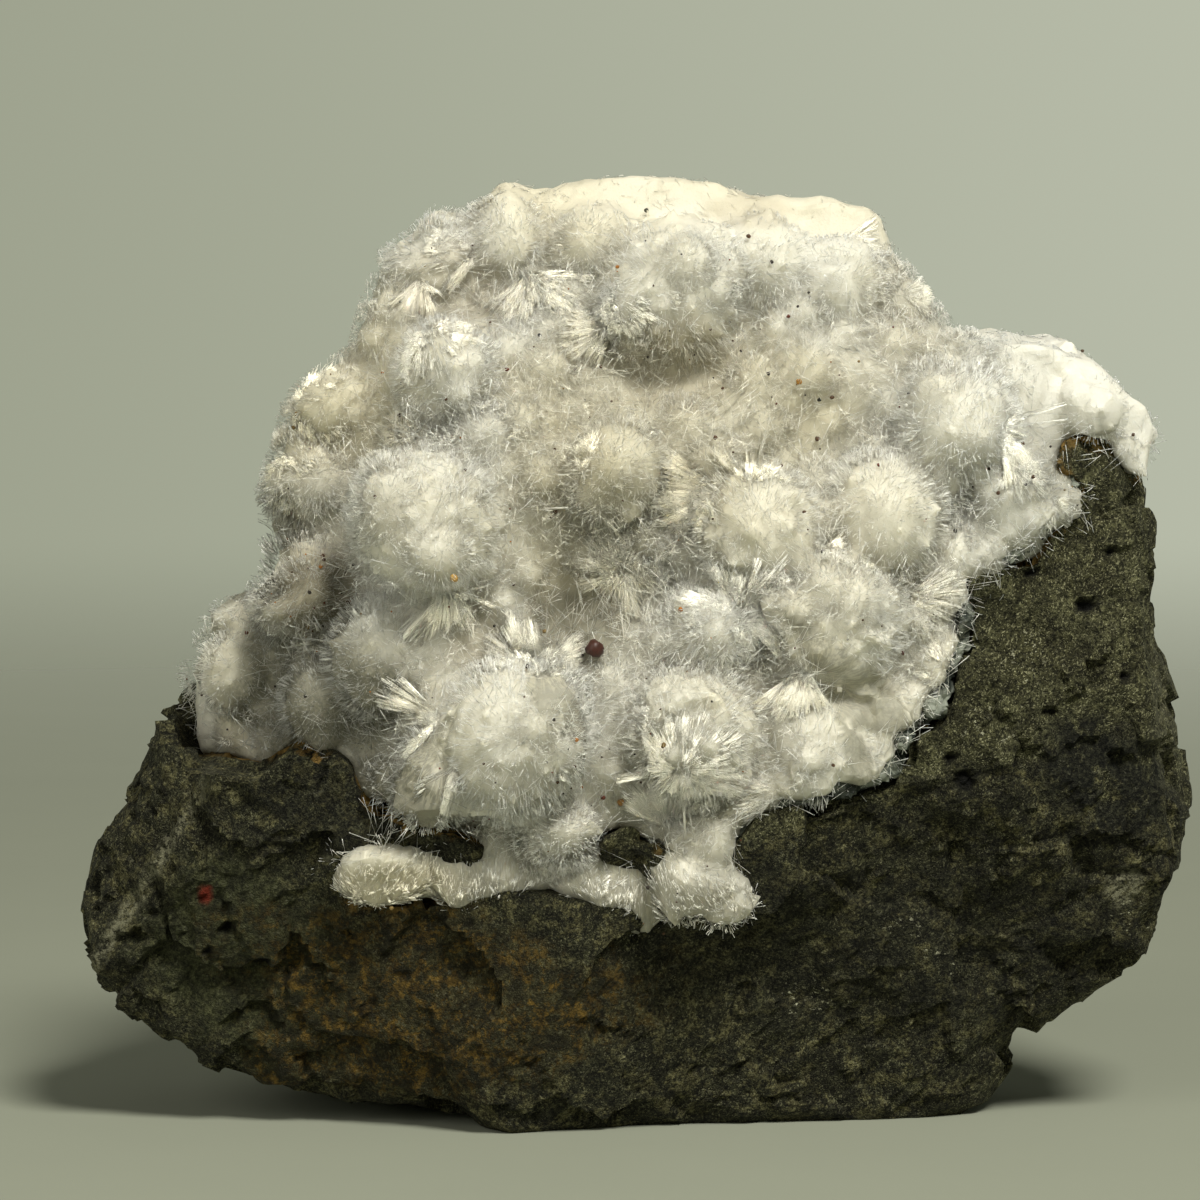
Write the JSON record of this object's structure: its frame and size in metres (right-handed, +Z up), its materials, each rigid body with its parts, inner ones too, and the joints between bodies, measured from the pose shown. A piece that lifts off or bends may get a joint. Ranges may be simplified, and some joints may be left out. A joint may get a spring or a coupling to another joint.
{
  "type": "okenite puffball specimen on basalt",
  "caption": "Broken lump of basalt with an opened cavity, rimmed with quartz and filled with a matted crust of okenite needles grown into white puffballs.",
  "frame": {"origin": "on the resting face under the specimen's middle", "axes": "-Y out of the show face, +Z up, +X to the right when the show face is seen"},
  "size_m": [0.0893, 0.0514, 0.0753],
  "materials": {
    "basalt": "rough broken stone with pits and iron stains",
    "quartz": "translucent grey-blue crystal druse",
    "okenite": "fibrous white needles, satin to glassy"
  },
  "bodies": {
    "root": {"basalt_matrix": "basalt", "quartz_lining": "quartz", "okenite_crust": "okenite"}
  },
  "joints": []
}
